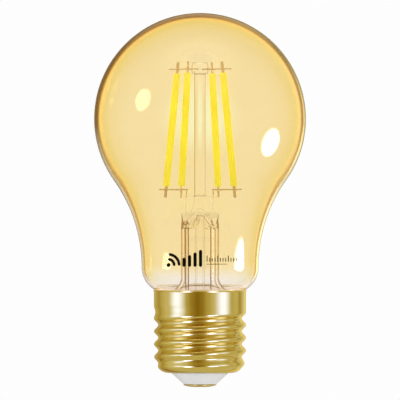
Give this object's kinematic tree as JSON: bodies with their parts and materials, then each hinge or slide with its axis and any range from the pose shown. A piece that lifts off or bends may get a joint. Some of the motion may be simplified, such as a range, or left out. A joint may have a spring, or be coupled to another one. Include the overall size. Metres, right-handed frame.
{
  "type": "smart filament light bulb",
  "caption": "Pear-shaped amber glass lamp with leaning LED filaments on a glass stem, a screw cap, and a wireless driver inside the cap.",
  "frame": {"origin": "on the lamp's axis, at the tip of the centre contact at the bottom of the screw cap", "axes": "+Z along the lamp's axis from the cap to the dome, +X to the right and -Y towards the viewer in the usual front view"},
  "size_m": [0.06, 0.06, 0.106],
  "materials": {
    "amber_glass": "clear amber-tinted blown glass, polished",
    "clear_glass": "clear drawn glass",
    "phosphor": "yellow phosphor silicone, satin",
    "ceramic": "translucent white ceramic",
    "nickel_wire": "nickel-plated iron, seen warm through the amber glass",
    "copper": "bare copper",
    "gold_brass": "gold-coloured plated brass, polished",
    "insulator_plastic": "light grey moulded plastic",
    "cement": "cream basing cement, rough",
    "circuit_board": "white solder mask",
    "tinned_steel": "tin plate",
    "black_plastic": "black epoxy moulding",
    "capacitor_sleeve": "black shrink sleeve",
    "ferrite": "sintered grey ferrite",
    "resistor_lacquer": "grey-green lacquer",
    "red_insulation": "red wire insulation",
    "blue_insulation": "blue wire insulation"
  },
  "bodies": {
    "root": {"glass_envelope": "amber_glass", "screw_shell": "gold_brass", "cap_insulator": "insulator_plastic", "centre_contact": "gold_brass", "basing_cement": "cement", "inner_lead_left": "nickel_wire", "outer_lead_left": "copper", "inner_lead_right": "nickel_wire", "outer_lead_right": "copper", "inner_lead_common": "nickel_wire", "outer_lead_common": "copper", "stem": "clear_glass", "exhaust_tube": "clear_glass", "centre_post": "clear_glass", "top_button": "clear_glass", "top_wire_1": "nickel_wire", "filament_coat_1": "phosphor", "filament_strip_1": "ceramic", "top_tab_1": "nickel_wire", "bottom_tab_1": "nickel_wire", "top_wire_2": "nickel_wire", "filament_coat_2": "phosphor", "filament_strip_2": "ceramic", "top_tab_2": "nickel_wire", "bottom_tab_2": "nickel_wire", "top_wire_3": "nickel_wire", "filament_coat_3": "phosphor", "filament_strip_3": "ceramic", "top_tab_3": "nickel_wire", "bottom_tab_3": "nickel_wire", "top_wire_4": "nickel_wire", "filament_coat_4": "phosphor", "filament_strip_4": "ceramic", "top_tab_4": "nickel_wire", "bottom_tab_4": "nickel_wire", "bus_wire_right": "nickel_wire", "bus_wire_left": "nickel_wire", "insulating_sleeve": "insulator_plastic", "driver_board": "circuit_board", "wireless_board": "circuit_board", "shield_can": "tinned_steel", "antenna_trace": "copper", "module_header": "black_plastic", "driver_chip": "black_plastic", "bridge_rectifier": "black_plastic", "smoothing_capacitor": "capacitor_sleeve", "choke_core": "ferrite", "choke_winding": "copper", "fusible_resistor": "resistor_lacquer", "live_wire": "red_insulation", "neutral_wire": "blue_insulation"}
  },
  "joints": []
}
